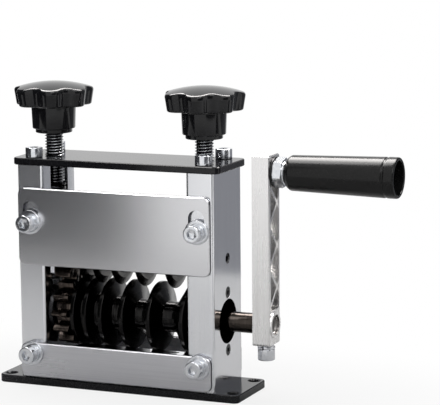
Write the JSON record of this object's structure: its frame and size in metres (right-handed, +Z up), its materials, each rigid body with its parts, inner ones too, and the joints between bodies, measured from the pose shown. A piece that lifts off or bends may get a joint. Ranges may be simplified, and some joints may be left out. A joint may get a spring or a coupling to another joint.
{
  "type": "hand crank wire stripper",
  "caption": "Bench wire stripper: a hand crank turns grooved feed discs geared to a shaft of round blades, set by two knob screws on a bridge frame.",
  "frame": {"origin": "middle of the underside of the base plate", "axes": "+X along the shafts towards the crank, +Y to the back, where the stripped wire leaves, +Z up"},
  "size_m": [0.2044, 0.0526, 0.1513],
  "materials": {
    "black_plate": "satin black powder coat",
    "bare_aluminium": "fine brushed",
    "polished_steel": "polished",
    "screw_steel": "bright zinc plate",
    "blackened_steel": "oil-blackened steel, glossy",
    "shaft_steel": "turned and ground",
    "blade_steel": "ground tool steel",
    "bronze": "sintered bronze",
    "spring_steel": "black spring wire",
    "knob_plastic": "glossy moulded black",
    "grip_plastic": "satin moulded black"
  },
  "bodies": {
    "frame": {"base_plate": "black_plate", "base_screws": "screw_steel", "left_post": "bare_aluminium", "right_post": "bare_aluminium", "top_plate": "black_plate", "top_plate_screws": "screw_steel", "lower_front_plate": "bare_aluminium", "lower_plate_screws": "screw_steel", "lower_back_plate": "bare_aluminium", "back_plate_screws": "screw_steel", "cover_screws": "screw_steel", "flat_washers": "screw_steel", "spring_washers": "screw_steel", "feed_table": "polished_steel", "bearing_outer_races": "polished_steel", "bearing_balls": "polished_steel", "retainer_screws": "blackened_steel", "side_screws": "blackened_steel"},
    "cover": {"cover_plate": "bare_aluminium"},
    "carriage": {"left_slide_block": "bare_aluminium", "right_slide_block": "bare_aluminium", "block_bushes": "bronze", "spring_seats": "blackened_steel", "pressure_springs": "spring_steel", "return_springs": "spring_steel"},
    "blade_shaft": {"upper_shaft": "shaft_steel", "upper_gear": "blackened_steel", "upper_gear_key": "blackened_steel", "blade_spacers": "shaft_steel", "upper_circlips": "blackened_steel", "blade_1": "blade_steel", "blade_2": "blade_steel", "blade_3": "blade_steel", "blade_4": "blade_steel", "blade_5": "blade_steel"},
    "crank": {"lower_shaft": "shaft_steel", "lower_gear": "blackened_steel", "lower_gear_key": "blackened_steel", "gear_spacer": "blackened_steel", "lower_circlips": "blackened_steel", "bearing_inner_races": "polished_steel", "crank_arm": "bare_aluminium", "clamp_bolt": "screw_steel", "clamp_washer": "screw_steel", "handle_washer": "blackened_steel", "handle_locknut": "polished_steel", "handle_spindle": "screw_steel", "feed_disc_1": "blackened_steel", "feed_disc_2": "blackened_steel", "feed_disc_3": "blackened_steel", "feed_disc_4": "blackened_steel", "feed_disc_5": "blackened_steel", "feed_disc_6": "blackened_steel"},
    "grip": {"grip": "grip_plastic"},
    "left_knob": {"left_knob_stud": "screw_steel", "left_knob_head": "knob_plastic"},
    "right_knob": {"right_knob_stud": "screw_steel", "right_knob_head": "knob_plastic"}
  },
  "joints": [
    {"name": "crank_spin", "type": "hinge", "parent": "frame", "child": "crank", "pos_m": [0, 0, 0.0363], "axis": [1, 0, 0], "continuous": true},
    {"name": "blade_spin", "type": "hinge", "parent": "carriage", "child": "blade_shaft", "pos_m": [0, 0, 0.0674], "axis": [1, 0, 0], "continuous": true},
    {"name": "left_knob_turn", "type": "hinge", "parent": "carriage", "child": "left_knob", "pos_m": [-0.0407, 0, 0.13], "axis": [0, 0, 1], "range_deg": [-240, 360]},
    {"name": "right_knob_turn", "type": "hinge", "parent": "carriage", "child": "right_knob", "pos_m": [0.0407, 0, 0.13], "axis": [0, 0, 1], "range_deg": [-240, 360]},
    {"name": "carriage_slide", "type": "slide", "parent": "frame", "child": "carriage", "axis": [0, 0, 1], "range_m": [-0.001, 0.0015], "deforming": ["return_springs"]},
    {"name": "cover_slide", "type": "slide", "parent": "frame", "child": "cover", "axis": [0, 0, 1], "range_m": [-0.0048, 0]},
    {"name": "grip_spin", "type": "hinge", "parent": "crank", "child": "grip", "pos_m": [0.11, 0, 0.111], "axis": [1, 0, 0], "continuous": true}
  ],
  "couplings": [
    {"joint": "blade_spin", "follows": "crank_spin", "ratio": -1},
    {"joint": "left_knob_turn", "follows": "carriage_slide", "rad_per_m": 4188.8},
    {"joint": "right_knob_turn", "follows": "carriage_slide", "rad_per_m": 4188.8}
  ]
}
